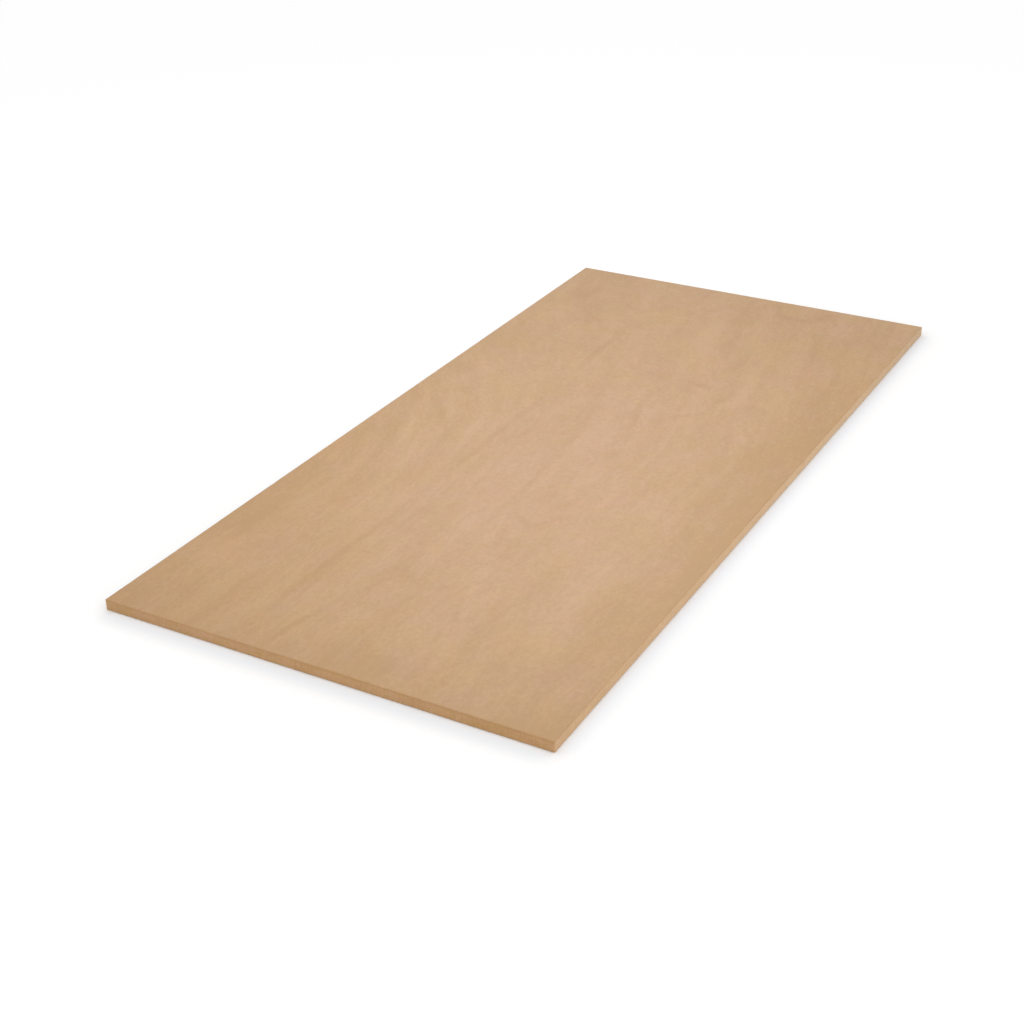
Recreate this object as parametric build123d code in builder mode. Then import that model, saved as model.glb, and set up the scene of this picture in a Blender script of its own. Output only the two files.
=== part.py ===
from build123d import *
import os

# Softboard sheet: wood fibre felted and pressed into one flat board, then sawn square on all
# four sides.
# The origin is the centre of the back face, where the sheet rests on the ground.
# The length runs along X, the width along Y, and +Z points out of the good face.

# Driving dimensions, in millimetres
sheet_length = 1250.0
sheet_width = 600.0
sheet_thickness = 14.0

# Soft fibre wears blunt at the four upright corners, in plan
corner_radius = 1.5

# The saw leaves the arris of the good face crisp, with only the loose fibre gone
good_arris_radius = 0.4

# The back is the side that is dragged and stood on, so its arris is broken a little wider
back_arris_break = 0.5


with BuildPart() as softboard_sheet:
    with BuildSketch(Plane.XY) as outline:
        Rectangle(sheet_length, sheet_width)
        fillet(outline.vertices(), radius=corner_radius)
    extrude(amount=sheet_thickness)

    good_face = softboard_sheet.faces().sort_by(Axis.Z)[-1]
    fillet(good_face.outer_wire().edges(), radius=good_arris_radius)

    back_face = softboard_sheet.faces().sort_by(Axis.Z)[0]
    chamfer(back_face.outer_wire().edges(), length=back_arris_break)

softboard_sheet.part.label = "softboard_sheet"

os.makedirs("parts", exist_ok=True)
export_step(softboard_sheet.part, "parts/softboard_sheet.step")
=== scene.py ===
import math
import random

import bpy
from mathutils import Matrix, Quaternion, Vector, noise
from mathutils.geometry import delaunay_2d_cdt


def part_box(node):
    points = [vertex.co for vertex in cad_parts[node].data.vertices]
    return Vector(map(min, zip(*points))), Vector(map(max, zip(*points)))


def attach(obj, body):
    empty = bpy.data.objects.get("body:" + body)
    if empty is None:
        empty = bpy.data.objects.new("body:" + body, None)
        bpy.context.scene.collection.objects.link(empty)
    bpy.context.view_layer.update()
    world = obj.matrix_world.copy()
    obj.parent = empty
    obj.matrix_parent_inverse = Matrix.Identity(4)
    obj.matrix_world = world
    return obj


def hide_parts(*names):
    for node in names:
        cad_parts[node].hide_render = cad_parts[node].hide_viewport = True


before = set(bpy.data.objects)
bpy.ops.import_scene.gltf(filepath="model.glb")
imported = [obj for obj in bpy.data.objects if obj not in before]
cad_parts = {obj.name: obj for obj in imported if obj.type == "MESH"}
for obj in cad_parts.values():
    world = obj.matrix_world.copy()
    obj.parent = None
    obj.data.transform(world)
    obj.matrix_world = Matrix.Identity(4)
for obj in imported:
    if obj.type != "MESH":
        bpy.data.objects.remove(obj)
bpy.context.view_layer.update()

MM = 0.001
NODE = "softboard_sheet"

sheet_low, sheet_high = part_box(NODE)
LENGTH = sheet_high.x - sheet_low.x
WIDTH = sheet_high.y - sheet_low.y
THICK = sheet_high.z - sheet_low.z

# The solid's own corner radius, eased arris and broken back arris
CORNER = 1.5 * MM
ARRIS = 0.4 * MM
BACK_BREAK = 0.5 * MM

# Mesh: how finely the sawn edges and the two faces are divided
COLUMN_PITCH = 1.7 * MM
CORNER_STEPS = 6
ARRIS_STEPS = 4
SIDE_ROWS = 13
BREAK_STEPS = 2

# Each ring of face points as (inset from the border, pitch), then the even field inside the last ring
FACE_RINGS = ((3.0 * MM, 4.0 * MM), (7.5 * MM, 7.0 * MM))
FACE_PITCH = 12.0 * MM
FIELD_GAP = 0.8 * FACE_PITCH
MERGE_DISTANCE = 1e-7

# Place of each material on the mesh
FACE_SLOT, EDGE_SLOT, BACK_SLOT = 0, 1, 2

# Wear and unevenness, all of it inside the sawn size: how deep, and about how long one swell is
ARRIS_WEAR = 0.20 * MM
ARRIS_WEAR_SIZE = 22 * MM
SAW_WANDER = 0.10 * MM
SAW_WANDER_SIZE = 60 * MM
FACE_SAG = 0.12 * MM
FACE_SAG_SIZE = 140 * MM

# Felt lumps of the sawn edge: how deep, and how long and how many times flatter each kind is
FELT_LUMPS = 0.14 * MM
COARSE_LUMP, COARSE_FLATNESS = 9 * MM, 3.0
FINE_LUMP, FINE_FLATNESS = 4 * MM, 2.0

# Small knocks along the arrises, as ranges in mm, and how far up or down the edge they reach
NICKS = 26
NICK_SEED = 11
NICK_SPREAD = 0.48
NICK_HALF_LENGTHS = (3.0, 8.0)
NICK_DEPTHS = (0.15, 0.5)
NICK_HEIGHT = 2.2 * MM

# The noise seldom passes 0.6, so it is stretched before it is cut off at 1
NOISE_STRETCH = 1.6


def wave(x, y, z, size, shift):
    """Smooth noise from 0 to 1, with features about size metres across. The shift picks a part of it."""
    place = Vector((x / size + shift, y / size - shift, z / size))
    return 0.5 + 0.5 * max(-1.0, min(1.0, NOISE_STRETCH * noise.noise(place)))


def outline():
    """The sheet's outline as (x, y, outward normal x, y), with each upright corner an arc."""
    half_x, half_y = LENGTH / 2 - CORNER, WIDTH / 2 - CORNER
    columns = []
    corners = ((half_x, -half_y), (half_x, half_y), (-half_x, half_y), (-half_x, -half_y))
    for number, (cx, cy) in enumerate(corners):
        start = math.radians(90 * number - 90)
        for step in range(CORNER_STEPS + 1):
            angle = start + math.radians(90) * step / CORNER_STEPS
            nx, ny = math.cos(angle), math.sin(angle)
            columns.append((cx + CORNER * nx, cy + CORNER * ny, nx, ny))
        side = 2 * (half_y if number % 2 == 0 else half_x)
        nx, ny = math.cos(start + math.radians(90)), math.sin(start + math.radians(90))
        count = round(side / COLUMN_PITCH)
        for step in range(1, count):
            along = side * step / count
            columns.append((cx + CORNER * nx - along * ny, cy + CORNER * ny + along * nx, nx, ny))
    return columns


def nick_list():
    """Small knocks along the two arrises, as (x, y, top or back, half length, depth)."""
    chance = random.Random(NICK_SEED)
    nicks = []
    for _ in range(NICKS):
        along = chance.uniform(-NICK_SPREAD, NICK_SPREAD)
        side = chance.choice((-0.5, 0.5))
        on_long_side = chance.random() < LENGTH / (LENGTH + WIDTH)
        x, y = (along * LENGTH, side * WIDTH) if on_long_side else (side * LENGTH, along * WIDTH)
        half_length = chance.uniform(*NICK_HALF_LENGTHS) * MM
        depth = chance.uniform(*NICK_DEPTHS) * MM
        nicks.append((x, y, chance.random() < 0.5, half_length, depth))
    return nicks


def profile(arris):
    """Rows down the edge as (inset, height), from the good face's border to the back's."""
    rows = []
    for step in range(ARRIS_STEPS + 1):
        angle = math.radians(90) * step / ARRIS_STEPS
        rows.append((arris * (1 - math.sin(angle)), THICK - arris * (1 - math.cos(angle))))
    top, bottom = THICK - arris, BACK_BREAK
    for step in range(1, SIDE_ROWS):
        rows.append((0.0, top + (bottom - top) * step / SIDE_ROWS))
    for step in range(BREAK_STEPS + 1):
        share = step / BREAK_STEPS
        rows.append((BACK_BREAK * share, BACK_BREAK * (1 - share)))
    return rows


def edge_depth(x, y, z, nicks):
    """How far the sawn edge lies inside the true outline at this place."""
    depth = SAW_WANDER * wave(x, y, 0.0, SAW_WANDER_SIZE, 3.1)
    coarse = wave(x, y, z * COARSE_FLATNESS, COARSE_LUMP, 7.7)
    fine = wave(x, y, z * FINE_FLATNESS, FINE_LUMP, 1.3)
    depth += FELT_LUMPS * coarse * fine
    for nick_x, nick_y, on_top, half_length, nick_depth in nicks:
        reach = math.hypot(x - nick_x, y - nick_y) / half_length
        if reach < 1.0:
            from_arris = (THICK - z if on_top else z) / NICK_HEIGHT
            fade = max(0.0, 1.0 - from_arris)
            depth += nick_depth * fade * fade * (1.0 - reach * reach) ** 2
    return depth


def edge_band():
    """The vertices of the edge as rows of columns, from the good face's border to the back's."""
    nicks = nick_list()
    columns = []
    for x, y, nx, ny in outline():
        near = [nick for nick in nicks if math.hypot(x - nick[0], y - nick[1]) < nick[3]]
        arris = ARRIS + ARRIS_WEAR * wave(x, y, 0.0, ARRIS_WEAR_SIZE, 5.0) ** 2
        column = []
        for inset, z in profile(arris):
            depth = inset + edge_depth(x, y, z, near)
            column.append(Vector((x - nx * depth, y - ny * depth, z)))
        columns.append(column)
    return [[column[row] for column in columns] for row in range(len(columns[0]))]


def face_points():
    """Points inside a face: two rings along the border, then an even staggered field."""
    points = []
    for inset, pitch in FACE_RINGS:
        half_x, half_y = LENGTH / 2 - inset, WIDTH / 2 - inset
        across, up = round(2 * half_x / pitch), round(2 * half_y / pitch)
        for step in range(across):
            share = step / across
            points.append((-half_x + 2 * half_x * share, -half_y))
            points.append((half_x - 2 * half_x * share, half_y))
        for step in range(up):
            share = step / up
            points.append((half_x, -half_y + 2 * half_y * share))
            points.append((-half_x, half_y - 2 * half_y * share))
    inset = FACE_RINGS[-1][0] + FIELD_GAP
    half_x, half_y = LENGTH / 2 - inset, WIDTH / 2 - inset
    across, up = round(2 * half_x / FACE_PITCH), round(2 * half_y / FACE_PITCH)
    for row in range(up + 1):
        y = -half_y + 2 * half_y * row / up
        offset = 0.5 * (row % 2)
        for column in range(across + 1 - row % 2):
            points.append((-half_x + 2 * half_x * (column + offset) / across, y))
    return points


def face_triangles(border, height):
    """A flat face filled between its border loop and its inner points: (new points, triangles)."""
    flat = [Vector((point.x, point.y)) for point in border]
    inner = [Vector(point) for point in face_points()]
    loop = list(range(len(flat)))
    inside_only = 1
    found = delaunay_2d_cdt(flat + inner, [], [loop], inside_only, MERGE_DISTANCE)
    points, triangles, originals = found[0], found[2], found[3]
    kept = [original[0] for original in originals]
    if sorted(kept) != list(range(len(flat) + len(inner))):
        raise ValueError("the face's points were merged or split")
    faces = [tuple(kept[corner] for corner in triangle) for triangle in triangles]
    return [Vector((point.x, point.y, height)) for point in inner], faces


def sheet_mesh():
    """The whole sheet as one closed mesh: edge band, good face and back."""
    rows = edge_band()
    count = len(rows[0])
    points = [point for row in rows for point in row]
    faces, slots = [], []
    for row in range(len(rows) - 1):
        for column in range(count):
            after = (column + 1) % count
            a, b = row * count + column, row * count + after
            faces.append((a, a + count, b + count, b))
            slots.append(FACE_SLOT if row < ARRIS_STEPS // 2 else EDGE_SLOT)
    both_faces = ((0, THICK, False, FACE_SLOT), (len(rows) - 1, 0.0, True, BACK_SLOT))
    for row, height, turned, slot in both_faces:
        inner, triangles = face_triangles(rows[row], height)
        first = len(points)
        points += inner
        for triangle in triangles:
            corners = [row * count + c if c < count else first + c - count for c in triangle]
            faces.append(tuple(reversed(corners)) if turned else tuple(corners))
            slots.append(slot)
    for point in points:
        sag = FACE_SAG * wave(point.x, point.y, 0.0, FACE_SAG_SIZE, 2.0)
        point.z -= sag * point.z / THICK
        point.z += sheet_low.z
        point.x += (sheet_low.x + sheet_high.x) / 2
        point.y += (sheet_low.y + sheet_high.y) / 2
    mesh = bpy.data.meshes.new("felted_board")
    mesh.from_pydata(points, [], faces)
    mesh.polygons.foreach_set("material_index", slots)
    mesh.polygons.foreach_set("use_smooth", [True] * len(faces))
    mesh.validate()
    mesh.update()
    return mesh


def add(tree, kind, inputs=None, **settings):
    """Adds a node, sets its properties, and fills its inputs with values or links."""
    node = tree.nodes.new(kind)
    for name, value in settings.items():
        setattr(node, name, value)
    for name, value in (inputs or {}).items():
        if isinstance(value, bpy.types.NodeSocket):
            tree.links.new(value, node.inputs[name])
        else:
            node.inputs[name].default_value = value
    return node


def calc(tree, operation, first, second=0.0):
    """A Math node's result."""
    return add(tree, "ShaderNodeMath", {0: first, 1: second}, operation=operation).outputs[0]


def pattern(tree, place, stretch, detail=2.0, roughness=0.5):
    """Noise about 0, from about -0.5 to 0.5, with stretch features to the metre along X, Y and Z."""
    scaled = add(tree, "ShaderNodeMapping", {"Vector": place, "Scale": stretch}).outputs[0]
    grain = add(tree, "ShaderNodeTexNoise", {
        "Vector": scaled, "Scale": 1.0, "Detail": detail, "Roughness": roughness,
    }).outputs["Fac"]
    return calc(tree, "SUBTRACT", grain, 0.5)


def summed(tree, parts):
    """The sum of each signal times its share."""
    total = calc(tree, "MULTIPLY", parts[0][1], parts[0][0])
    for share, value in parts[1:]:
        total = calc(tree, "ADD", calc(tree, "MULTIPLY", value, share), total)
    return total


def ramp(tree, value, low, high, result_low, result_high):
    """A value eased from one level to another while the input runs from low to high."""
    return add(tree, "ShaderNodeMapRange", {
        "Value": value, "From Min": low, "From Max": high, "To Min": result_low, "To Max": result_high,
    }, interpolation_type="SMOOTHSTEP").outputs[0]


def blend(tree, signal, low, high):
    """A colour between two, by a signal about 0 that reaches them at -0.5 and 0.5."""
    mix = add(tree, "ShaderNodeMix", data_type="RGBA", clamp_factor=True)
    tree.links.new(calc(tree, "ADD", signal, 0.5), mix.inputs[0])
    mix.inputs[6].default_value = (*low, 1.0)
    mix.inputs[7].default_value = (*high, 1.0)
    return mix.outputs[2]


# What the board's colour is multiplied by at either end of its light and of its two drifts of hue
DARK, PALE = (0.913, 0.883, 0.777), (1.087, 1.117, 1.223)
YELLOW, BLUE = (1.000, 1.019, 0.880), (1.000, 0.981, 1.120)
GREEN, RED = (0.976, 1.014, 1.000), (1.024, 0.986, 1.000)
HUE_ENDS = ((YELLOW, BLUE), (GREEN, RED))


def hues(tree, place, stretch, strength):
    """Two drifts of hue about 0: from yellow to blue, and from green to red."""
    finer = add(tree, "ShaderNodeMapping", {
        "Vector": place, "Location": (3.0, 5.0, 7.0), "Scale": (1.6, 1.6, 1.6),
    }).outputs[0]
    drifts = [pattern(tree, spot, stretch, 5.0, 0.8) for spot in (place, finer)]
    return [calc(tree, "MULTIPLY", drift, strength) for drift in drifts]


def tinted(tree, colour, signal, drifts):
    """The colour, paler or darker by the signal (0.1 is about 2 percent), its hue moved by the drifts."""
    darkest, palest = [[value * share for value, share in zip(colour, end)] for end in (DARK, PALE)]
    result = blend(tree, signal, darkest, palest)
    for drift, ends in zip(drifts, HUE_ENDS):
        moved = blend(tree, drift, *ends)
        result = add(tree, "ShaderNodeVectorMath", {0: result, 1: moved}, operation="MULTIPLY").outputs[0]
    return result


def relief(tree, shader, height, depth):
    """Fine relief: height about 0, in units of depth metres."""
    bump = add(tree, "ShaderNodeBump", {"Height": height, "Distance": depth, "Strength": 1.0})
    tree.links.new(bump.outputs[0], shader.inputs["Normal"])


# The light that loose fibre scatters back at a grazing view is warm
SHEEN_TINT = (1.0, 0.88, 0.68, 1.0)


def board_material(name, roughness, sheen=0.0, specular=0.5):
    """A plain board material: (material, tree, place in the sheet's own frame, shader)."""
    material = bpy.data.materials.new(name)
    material.use_nodes = True
    tree = material.node_tree
    tree.nodes.clear()
    place = add(tree, "ShaderNodeTexCoord").outputs["Object"]
    shader = add(tree, "ShaderNodeBsdfPrincipled", {
        "Roughness": roughness, "Specular IOR Level": specular,
        "Sheen Weight": sheen, "Sheen Roughness": 0.45, "Sheen Tint": SHEEN_TINT,
    })
    output = add(tree, "ShaderNodeOutputMaterial")
    tree.links.new(shader.outputs[0], output.inputs[0])
    return material, tree, place, shader


# Pressed fibres as (turn in radians, how many to the metre along it, how many across it)
FIBRES = ((0.0, 180.0, 900.0), (0.9, 260.0, 1100.0), (1.7, 240.0, 1000.0), (2.5, 300.0, 1200.0))


def fibre_flecks(tree, place):
    """Short pressed fibres that lie in four directions in the plane of the sheet."""
    flecks = []
    for turn, along, across in FIBRES:
        turned = add(tree, "ShaderNodeMapping", {"Vector": place, "Rotation": (0.0, 0.0, turn)})
        flecks.append((1.0, pattern(tree, turned.outputs[0], (along, across, 700.0), 2.0, 0.55)))
    return summed(tree, flecks)


# Faint marks of the good face, in mm and degrees: (x, y, half length, half width, turn, strength)
MARKS = (
    (-420, 114, 250, 10, -1, -0.34), (-30, 110, 250, 10, 0, -0.34), (310, 115, 150, 10, 2, -0.42),
    (-560, 68, 90, 9, -11, -0.50), (-455, -84, 75, 10, 20, -0.30), (-80, 2, 150, 10, 5, -0.26),
    (-265, -36, 70, 9, 18, -0.22), (-420, -76, 150, 18, 14, 0.22), (-226, -42, 28, 10, 62, -0.34),
    (-212, -80, 40, 9, -34, -0.34), (-95, -60, 80, 28, 6, 0.28), (-8, -64, 30, 15, 10, -0.42),
    (110, -38, 130, 10, 13, -0.28), (145, -95, 60, 12, -42, -0.26), (215, -124, 65, 11, -10, -0.26),
    (258, -78, 32, 15, 80, -0.44), (320, -90, 78, 24, 0, -0.28), (430, -58, 120, 11, 11, -0.32),
    (562, -105, 46, 18, 90, -0.46), (590, -70, 42, 15, 25, -0.42), (592, -148, 46, 14, -30, -0.32),
    (0, 218, 90, 14, 37, -0.42), (-60, 235, 95, 18, 22, 0.30), (510, 248, 68, 34, 20, -0.46),
    (155, 272, 52, 28, 60, -0.38), (-545, 238, 70, 42, 60, -0.24), (-385, 262, 85, 40, 0, -0.36),
    (-412, 12, 48, 34, 60, -0.38), (-590, -55, 58, 36, 60, -0.28), (-440, -196, 210, 20, 1, 0.26),
    (430, -22, 160, 24, 14, 0.26), (230, -142, 115, 22, -8, 0.30), (-30, 146, 95, 22, 5, 0.28),
    (30, 62, 110, 46, -25, -0.18),
)

# Painted light and shade: broad shares of the face that are darker towards its borders and near corners
# and, in the middle, paler, standing in for the pool of light on it; written as the marks are
PAINTED_POOL_MARKS = (
    (-100, -330, 780, 160, 0, -0.64), (-250, 330, 580, 130, 0, -0.36), (180, 325, 330, 100, 0, -0.26),
    (-650, 40, 120, 400, 0, -0.24), (-640, -320, 200, 150, -40, -0.62), (-640, 310, 220, 150, 30, -0.30),
    (-130, -60, 330, 170, 0, 0.13),
)

# Painted sheen: the middle of the face is less yellow than its borders, standing in for the pale pool of
# light there, in an oval written as the marks are
PAINTED_SHEEN_OVAL = ((-80, -20, 560, 260, 0, 0.40),)


def soft_mark(tree, place, x, y, half_length, half_width, turn):
    """1 in the middle of a soft oval lying in the plane of the sheet, 0 outside it."""
    own = add(tree, "ShaderNodeMapping", {
        "Vector": place, "Location": (x * MM, y * MM, 0.0), "Rotation": (0.0, 0.0, math.radians(turn)),
        "Scale": (half_length * MM, half_width * MM, 1000.0),
    }, vector_type="TEXTURE").outputs[0]
    away = add(tree, "ShaderNodeVectorMath", {0: own}, operation="LENGTH").outputs["Value"]
    return ramp(tree, away, 0.0, 1.0, 1.0, 0.0)


def ovals(tree, place, marks):
    """The sum of soft marks, each times its strength."""
    return summed(tree, [(strength, soft_mark(tree, place, *oval)) for *oval, strength in marks])


def lanes(tree, place):
    """The place with its Y bent, so that the streaks slant by the left side and the far end, and sway."""
    x, y, _ = add(tree, "ShaderNodeSeparateXYZ", {"Vector": place}).outputs
    slant = ramp(tree, x, -280.0 * MM, 280.0 * MM, 80.0 * MM, -80.0 * MM)
    by_left_side = ramp(tree, y, -20.0 * MM, 300.0 * MM, 0.0, 1.0)
    by_far_end = ramp(tree, x, -50.0 * MM, 650.0 * MM, 0.0, -110.0 * MM)
    slant = calc(tree, "ADD", calc(tree, "MULTIPLY", slant, by_left_side), by_far_end)
    sway = calc(tree, "MULTIPLY", pattern(tree, place, (3.0, 5.0, 1.0), 1.0), 50.0 * MM)
    bent = calc(tree, "ADD", calc(tree, "ADD", y, slant), sway)
    return add(tree, "ShaderNodeCombineXYZ", {"X": x, "Y": bent}).outputs[0]


def wavering(tree, place):
    """The place moved a few millimetres to and fro, so that the marks' outlines waver."""
    bends = [pattern(tree, place, stretch, 2.0) for stretch in ((16.0, 20.0, 1.0), (14.0, 22.0, 5.0))]
    moves = [calc(tree, "MULTIPLY", bend, 11.0 * MM) for bend in bends]
    move = add(tree, "ShaderNodeCombineXYZ", {"X": moves[0], "Y": moves[1]}).outputs[0]
    return add(tree, "ShaderNodeVectorMath", {0: place, 1: move}, operation="ADD").outputs[0]


def face_figure(tree, place):
    """The good face's faint figure, lengthwise streaks and marks, with a painted pool of light (paler,
    less yellow middle and darker borders), as (drifts of hue, signal).
    """
    lane = lanes(tree, place)
    broad = pattern(tree, lane, (2.5, 31.0, 1.0), 2.0, 0.55)
    narrow = pattern(tree, lane, (9.0, 170.0, 1.0), 3.0, 0.65)
    mottle = pattern(tree, lane, (40.0, 78.0, 1.0), 0.0)
    grain = pattern(tree, lane, (120.0, 170.0, 1.0), 3.0, 0.7)
    to_blue, to_red = hues(tree, lane, (10.0, 13.0, 1.0), 2.8)
    # Painted sheen: the middle of the face is moved towards blue
    to_blue = calc(tree, "ADD", to_blue, ovals(tree, place, PAINTED_SHEEN_OVAL))
    # The marks hold the face's real figure together with the painted pool of light and shade
    marks = ovals(tree, wavering(tree, place), MARKS + PAINTED_POOL_MARKS)
    broken = calc(tree, "ADD", pattern(tree, lane, (30.0, 150.0, 1.0), 2.0), 1.0)
    signal = summed(tree, (
        (1.00, broad), (0.15, narrow), (0.46, mottle), (1.50, grain),
        (1.00, calc(tree, "MULTIPLY", marks, broken)),
    ))
    return (to_blue, to_red), signal


# Base colour and depth of the relief of each material
FACE_COLOUR, FACE_RELIEF = (0.476, 0.274, 0.120), 0.06 * MM
EDGE_COLOUR, EDGE_RELIEF = (0.597, 0.338, 0.151), 0.25 * MM
BACK_COLOUR, BACK_RELIEF = (0.44, 0.265, 0.12), 0.18 * MM

# Heights that the edge's darker bands fade over: one under the good face's arris, and one above the
# back's, which is painted shade where the sheet meets the floor
TOP_DARK_BAND = (THICK - 4.0 * MM, THICK - 0.5 * MM)
BOTTOM_SHADE_HEIGHTS = (1.0 * MM, 5.0 * MM)

# The two ends' own share of the darker band starts this far from the sheet's middle
AT_END = (LENGTH / 2 - 3.0 * MM, LENGTH / 2 - 1.0 * MM)

# Pitch of the drying screen's wires, printed in the back
WIRE_PITCH = 2.6 * MM


def good_face_material():
    """The pressed good face: tan and close, with a faint lengthwise figure, dark specks and a painted
    pool of light in its middle.
    """
    material, tree, place, shader = board_material("good_face", 0.42)
    cloud = pattern(tree, place, (9.0, 13.0, 1.0), 2.0)
    flecks = fibre_flecks(tree, place)
    specks = ramp(tree, pattern(tree, place, (330.0, 420.0, 1.0), 1.0), 0.27, 0.33, 0.0, 1.0)
    drifts, figure = face_figure(tree, place)
    signal = summed(tree, ((1.0, figure), (0.80, cloud), (0.60, flecks), (-0.30, specks)))
    tree.links.new(tinted(tree, FACE_COLOUR, signal, drifts), shader.inputs["Base Color"])
    felt = pattern(tree, place, (300.0, 300.0, 300.0), 3.0, 0.6)
    relief(tree, shader, summed(tree, ((1.0, flecks), (0.8, felt))), FACE_RELIEF)
    return material


def sawn_edge_material():
    """The sawn edges: open fibre in fine layers, darker under the good face's arris, with painted shade
    above the back's arris by the floor and painted light and shade from the near end to the far end.
    """
    material, tree, place, shader = board_material("sawn_edge", 0.85, 1.0, 0.2)
    layers = pattern(tree, place, (45.0, 45.0, 900.0), 3.0, 0.6)
    fibres = pattern(tree, place, (330.0, 330.0, 1000.0), 3.0, 0.65)
    strokes = pattern(tree, place, (900.0, 900.0, 60.0), 2.0)
    patches = pattern(tree, place, (30.0, 30.0, 60.0), 2.0)
    x, _, z = add(tree, "ShaderNodeSeparateXYZ", {"Vector": place}).outputs
    at_end = ramp(tree, calc(tree, "ABSOLUTE", x), *AT_END, 0.0, 1.0)
    top_dark_band = ramp(tree, z, *TOP_DARK_BAND, 0.0, -0.30)
    end_dark_band = calc(tree, "MULTIPLY", at_end, ramp(tree, z, *TOP_DARK_BAND, -0.08, -0.43))
    # Painted shade: the lowest millimetres of the edge are darker where the sheet meets the floor
    bottom_painted_shade = ramp(tree, z, *BOTTOM_SHADE_HEIGHTS, -0.20, 0.04)
    # Painted light and shade along the sheet: paler at the near end and darker towards the far end,
    # against the sheen that grows there
    painted_light_and_shade_along = ramp(tree, x, -200.0 * MM, LENGTH / 2, 0.11, -0.20)
    signal = summed(tree, (
        (1.2, layers), (3.6, fibres), (1.8, strokes), (1.6, patches),
        (1.0, top_dark_band), (1.0, end_dark_band), (1.0, bottom_painted_shade), (1.0, painted_light_and_shade_along),
    ))
    drifts = hues(tree, place, (60.0, 60.0, 160.0), 4.0)
    tree.links.new(tinted(tree, EDGE_COLOUR, signal, drifts), shader.inputs["Base Color"])
    relief(tree, shader, summed(tree, ((1.0, fibres), (0.5, layers), (0.4, strokes))), EDGE_RELIEF)
    return material


def back_material():
    """The back keeps the print of the wire screen that the wet felt is drained on."""
    material, tree, place, shader = board_material("screen_back", 0.7, 0.2)
    x, y, _ = add(tree, "ShaderNodeSeparateXYZ", {"Vector": place}).outputs
    turns = 2.0 * math.pi / WIRE_PITCH
    wires = [calc(tree, "SINE", calc(tree, "MULTIPLY", value, turns)) for value in (x, y)]
    mesh = calc(tree, "MAXIMUM", *wires)
    cloud = pattern(tree, place, (9.0, 13.0, 1.0), 2.0)
    mottle = pattern(tree, place, (60.0, 60.0, 1.0), 3.0, 0.6)
    flecks = fibre_flecks(tree, place)
    signal = summed(tree, ((0.3, cloud), (0.4, mottle), (0.25, flecks), (-0.05, mesh)))
    drifts = hues(tree, place, (12.0, 12.0, 1.0), 2.5)
    tree.links.new(tinted(tree, BACK_COLOUR, signal, drifts), shader.inputs["Base Color"])
    relief(tree, shader, summed(tree, ((-0.5, mesh), (0.6, flecks), (0.6, mottle))), BACK_RELIEF)
    return material


# Camera, at the photograph's own viewpoint
AIM = Vector((-214.58 * MM, -20.78 * MM, 14.0 * MM))
AZIMUTH = -60.352
ELEVATION = 28.554
ROLL = -1.022
DISTANCE = 2157.8 * MM
LENS = 59.161
SENSOR = 36.0


def add_camera():
    """The camera, aimed at a point of the good face."""
    azimuth, elevation = math.radians(AZIMUTH), math.radians(ELEVATION)
    back = Vector((
        math.sin(azimuth) * math.cos(elevation),
        -math.cos(azimuth) * math.cos(elevation),
        math.sin(elevation),
    ))
    camera = bpy.data.objects.new("camera", bpy.data.cameras.new("camera"))
    camera.data.lens = LENS
    camera.data.sensor_width = SENSOR
    camera.location = AIM + back * DISTANCE
    camera.rotation_mode = "QUATERNION"
    look = (-back).to_track_quat("-Z", "Y")
    camera.rotation_quaternion = look @ Quaternion((0.0, 0.0, 1.0), math.radians(ROLL))
    bpy.context.scene.collection.objects.link(camera)
    bpy.context.scene.camera = camera


# The white floor: half its size, and how much of the light it sends back
FLOOR_HALF = 14.0
FLOOR_WHITE = (0.88, 0.88, 0.88, 1.0)

# The floor's level as the camera sees it, inside and outside two radii: less lamp light falls far off
FLOOR_SEEN = (0.953, 1.573)
FLOOR_RADII = (0.315, 1.755)
FLOOR_MIDDLE = (-31.0 * MM, -26.0 * MM, 0.0)

# Close to the sheet the floor's seen colour is painted a touch cooler, to cancel the warm light bounced
# off the sheet's edges
FLOOR_NEAR = (0.945, 1.0, 1.06)
FLOOR_NEAR_REACH = 30.0 * MM

# The floor's seen colour paints the soft shadow's shape by distance from the sheet: painted light at its
# foot, painted shade further off, and a painted dark line where the sheet touches the floor
SHADOW_FOOT = 0.15
SHADOW_SPREAD = -0.045
SHADOW_FALL = (-2.0 * MM, 14.0 * MM)
SHADOW_RISE = (18.0 * MM, 38.0 * MM)
SHADOW_CONTACT = -0.13
CONTACT_REACH = 2.2 * MM

# It holds beside the near end and, by a share, beside the side at -Y: in full 2 mm outside the border,
# and not at all 6 mm inside it
SHADOW_BESIDE = (-2.0 * MM, 6.0 * MM)
SHADOW_SIDE_SHARE = 0.45

# The painted cool tint and the painted shadow shape both fade out over this length before the sheet's
# corners
CORNER_FADE = 24.0 * MM

# An even world lights the sheet from all round
WORLD_LEVEL = 0.625

# Soft rectangular lamps: (place, target, size in metres, power in watts)
LAMPS = {
    "back_softbox": ((1.13, 0.54, 0.89), (-0.1, -0.04, 0.0), (0.82, 0.57), 1.62),
    "overhead_softbox": ((-0.07, 0.01, 0.57), (-0.07, 0.01, 0.0), (1.46, 1.46), 4.4),
    "side_fill": ((-1.1, -1.9, 0.6), (-0.4, -0.3, 0.0), (1.2, 0.8), 4.5),
}


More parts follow.
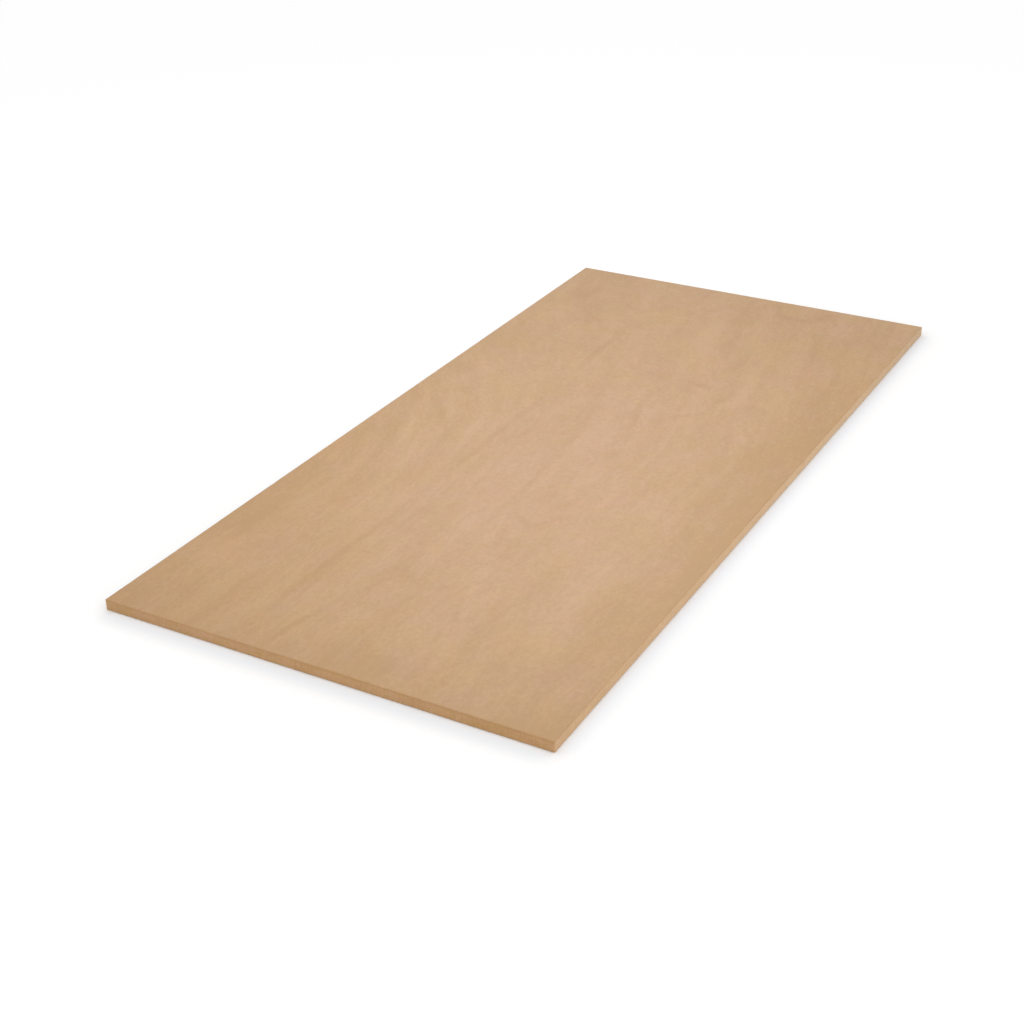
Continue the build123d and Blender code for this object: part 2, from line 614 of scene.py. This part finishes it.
def painted_shadow_shape(tree, x, y, along_end, along_side, outside):
    """The painted shadow shape: what the seen floor is multiplied by beside the near end and, less,
    beside the side at -Y.
    """
    start, stop = SHADOW_BESIDE
    by_end = ramp(tree, x, start - LENGTH / 2, stop - LENGTH / 2, 1.0, 0.0)
    by_side = ramp(tree, y, start - WIDTH / 2, stop - WIDTH / 2, SHADOW_SIDE_SHARE, 0.0)
    end = calc(tree, "MULTIPLY", along_end, by_end)
    side = calc(tree, "MULTIPLY", along_side, by_side)
    fall = ramp(tree, outside, *SHADOW_FALL, SHADOW_FOOT, SHADOW_SPREAD)
    rise = ramp(tree, outside, *SHADOW_RISE, 0.0, -SHADOW_SPREAD)
    contact = ramp(tree, outside, 0.0, CONTACT_REACH, SHADOW_CONTACT, 0.0)
    change = summed(tree, ((1.0, fall), (1.0, rise), (1.0, contact)))
    shape = calc(tree, "MULTIPLY", calc(tree, "MAXIMUM", end, side), change)
    return calc(tree, "ADD", shape, 1.0)


def floor_colour(tree):
    """The floor's colour as the camera sees it, evened out so that it is white away from the shadow, with
    the shadow's shape painted in beside the sheet.
    """
    place = add(tree, "ShaderNodeTexCoord").outputs["Object"]
    away = add(tree, "ShaderNodeVectorMath", {0: place, 1: FLOOR_MIDDLE}, operation="SUBTRACT").outputs[0]
    reach = add(tree, "ShaderNodeVectorMath", {0: away}, operation="LENGTH").outputs["Value"]
    level = ramp(tree, reach, *FLOOR_RADII, *FLOOR_SEEN)
    x, y, _ = add(tree, "ShaderNodeSeparateXYZ", {"Vector": place}).outputs
    from_middle = [calc(tree, "ABSOLUTE", value) for value in (x, y)]
    halves = (LENGTH / 2, WIDTH / 2)
    beyond = [calc(tree, "SUBTRACT", value, half) for value, half in zip(from_middle, halves)]
    along_side, along_end = [
        ramp(tree, value, -CORNER_FADE, CORNER_FADE / 3, 1.0, 0.0) for value in beyond
    ]
    apart = [calc(tree, "MAXIMUM", value) for value in beyond]
    apart = add(tree, "ShaderNodeCombineXYZ", {"X": apart[0], "Y": apart[1]}).outputs[0]
    outside = add(tree, "ShaderNodeVectorMath", {0: apart}, operation="LENGTH").outputs["Value"]
    level = calc(tree, "MULTIPLY", level, painted_shadow_shape(tree, x, y, along_end, along_side, outside))
    close = ramp(tree, outside, 0.0, FLOOR_NEAR_REACH, 1.0, 0.0)
    close = calc(tree, "MULTIPLY", close, calc(tree, "MAXIMUM", along_end, along_side))
    tints = [calc(tree, "ADD", calc(tree, "MULTIPLY", close, near - 1.0), 1.0) for near in FLOOR_NEAR]
    levels = [calc(tree, "MULTIPLY", level, tint) for tint in tints]
    return add(tree, "ShaderNodeCombineColor", dict(zip(("Red", "Green", "Blue"), levels))).outputs[0]


def add_world(strength):
    """A world that lights the sheet evenly, and that the camera and glossy rays see as plain white."""
    world = bpy.data.worlds.new("studio")
    world.use_nodes = True
    tree = world.node_tree
    tree.nodes.clear()
    rays = add(tree, "ShaderNodeLightPath").outputs
    seen = calc(tree, "MAXIMUM", rays["Is Camera Ray"], rays["Is Glossy Ray"])
    lit = add(tree, "ShaderNodeBackground", {"Color": (1.0, 1.0, 1.0, 1.0), "Strength": strength})
    white = add(tree, "ShaderNodeBackground", {"Color": (1.0, 1.0, 1.0, 1.0), "Strength": 1.0})
    mix = add(tree, "ShaderNodeMixShader", {0: seen, 1: lit.outputs[0], 2: white.outputs[0]})
    output = add(tree, "ShaderNodeOutputWorld")
    tree.links.new(mix.outputs[0], output.inputs[0])
    bpy.context.scene.world = world


def add_floor():
    """The white floor that the sheet lies on, and that catches its soft shadow."""
    mesh = bpy.data.meshes.new("floor")
    signs = ((-1, -1), (1, -1), (1, 1), (-1, 1))
    corners = [(FLOOR_HALF * across, FLOOR_HALF * up, 0.0) for across, up in signs]
    mesh.from_pydata(corners, [], [(0, 1, 2, 3)])
    floor = bpy.data.objects.new("floor", mesh)
    bpy.context.scene.collection.objects.link(floor)
    material = bpy.data.materials.new("floor")
    material.use_nodes = True
    tree = material.node_tree
    tree.nodes.clear()
    rays = add(tree, "ShaderNodeLightPath").outputs
    plain = add(tree, "ShaderNodeBsdfDiffuse", {"Color": FLOOR_WHITE})
    seen = add(tree, "ShaderNodeBsdfDiffuse", {"Color": floor_colour(tree)})
    direct = calc(tree, "MAXIMUM", rays["Is Camera Ray"], rays["Is Glossy Ray"])
    mix = add(tree, "ShaderNodeMixShader", {0: direct, 1: plain.outputs[0], 2: seen.outputs[0]})
    output = add(tree, "ShaderNodeOutputMaterial")
    tree.links.new(mix.outputs[0], output.inputs[0])
    mesh.materials.append(material)


def add_lamp(name, place, target, size, power):
    """A soft rectangular lamp that faces its target."""
    lamp = bpy.data.objects.new(name, bpy.data.lights.new(name, "AREA"))
    lamp.data.shape = "RECTANGLE"
    lamp.data.size, lamp.data.size_y = size
    lamp.data.energy = power
    lamp.location = place
    lamp.rotation_mode = "QUATERNION"
    lamp.rotation_quaternion = (Vector(target) - Vector(place)).to_track_quat("-Z", "Y")
    lamp.visible_camera = False
    bpy.context.scene.collection.objects.link(lamp)


add_camera()
add_world(WORLD_LEVEL)
add_floor()
for lamp_name, (lamp_place, lamp_target, lamp_size, lamp_power) in LAMPS.items():
    add_lamp(lamp_name, lamp_place, lamp_target, lamp_size, lamp_power)

board = bpy.data.objects.new("felted_board", sheet_mesh())
bpy.context.scene.collection.objects.link(board)
for material in (good_face_material(), sawn_edge_material(), back_material()):
    board.data.materials.append(material)
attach(board, "root")
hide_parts(NODE)

bpy.context.scene.view_settings.view_transform = "Standard"
